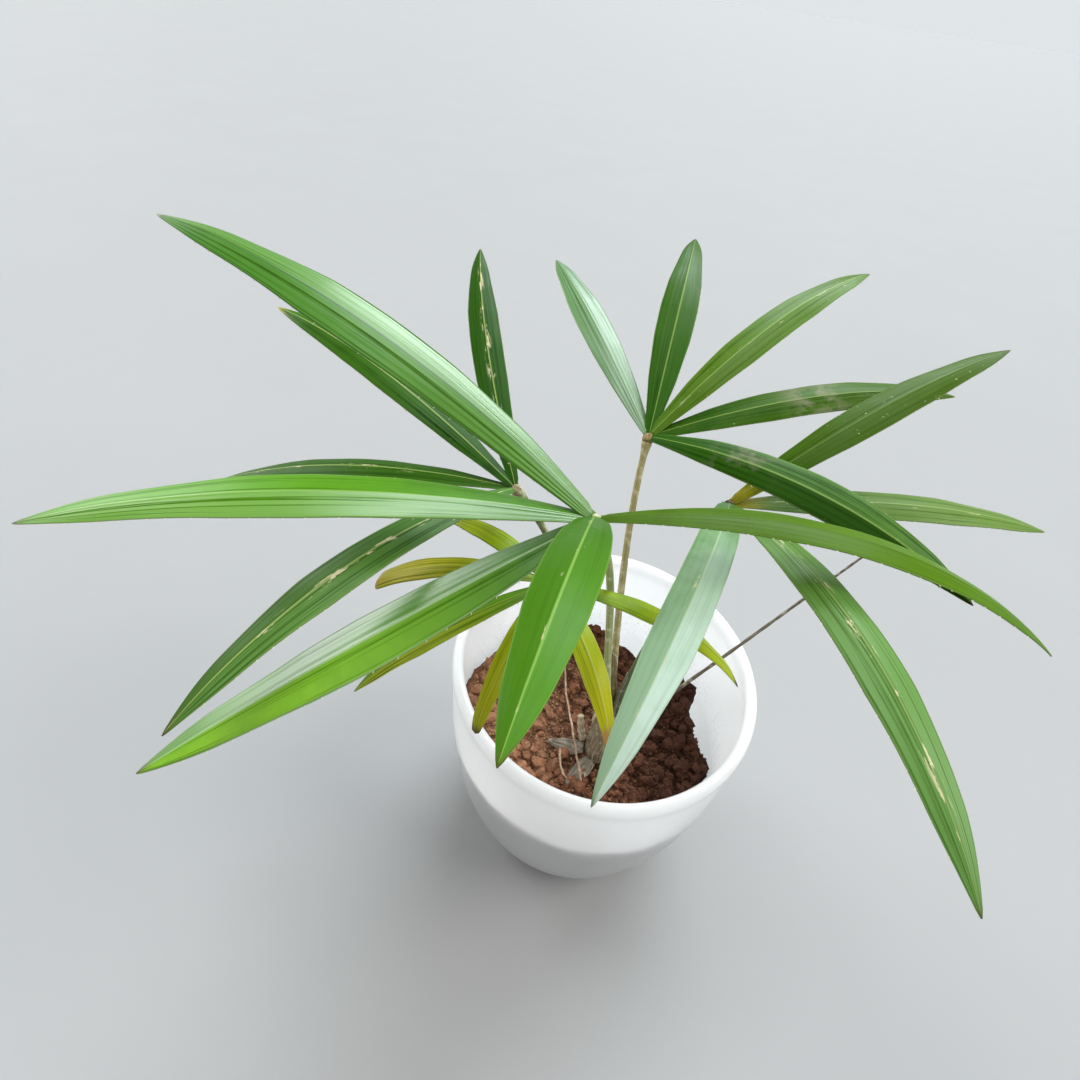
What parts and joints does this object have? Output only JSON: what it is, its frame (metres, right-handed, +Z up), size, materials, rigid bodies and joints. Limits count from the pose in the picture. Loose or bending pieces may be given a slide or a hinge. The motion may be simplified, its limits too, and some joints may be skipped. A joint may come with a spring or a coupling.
{
  "type": "potted rattan palm",
  "caption": "Young rattan palm with fan leaves of narrow drooping blades on thin stalks, growing in reddish soil in a plain round white pot.",
  "frame": {"origin": "middle of the flat underside of the pot", "axes": "+Z up, -Y towards the viewer of the picture, +X to that viewer's right"},
  "size_m": [0.306, 0.2592, 0.2504],
  "materials": {
    "pot": "gloss",
    "soil": "matte",
    "stem": "matte",
    "stalk": "satin",
    "dry": "matte",
    "root": "matte",
    "leaf_a": "satin",
    "leaf_b": "satin",
    "leaf_c": "satin",
    "leaf_d": "satin",
    "leaf_e": "satin"
  },
  "bodies": {
    "root": {"blade_a1": "leaf_a", "blade_a2": "leaf_a", "blade_a3": "leaf_a", "blade_a4": "leaf_a", "blade_a5": "leaf_a", "blade_b1": "leaf_b", "blade_b2": "leaf_b", "blade_b3": "leaf_b", "blade_b4": "leaf_b", "blade_b5": "leaf_b", "blade_c1": "leaf_c", "blade_c2": "leaf_c", "blade_c3": "leaf_c", "blade_c4": "leaf_c", "blade_d1": "leaf_d", "blade_d2": "leaf_d", "blade_d3": "leaf_d", "blade_d4": "leaf_d", "blade_e1": "leaf_e", "blade_e2": "leaf_e", "blade_e3": "leaf_e", "blade_e4": "leaf_e", "blade_e5": "leaf_e", "blade_e6": "leaf_e", "dead_root": "root", "dry_stalk": "dry", "old_sheath_front": "dry", "old_sheath_left": "dry", "pot": "pot", "soil": "soil", "stalk_a": "stalk", "stalk_b": "stalk", "stalk_c": "stalk", "stalk_d": "stalk", "stalk_e": "stalk", "stem": "stem", "stub": "stem"}
  },
  "joints": []
}
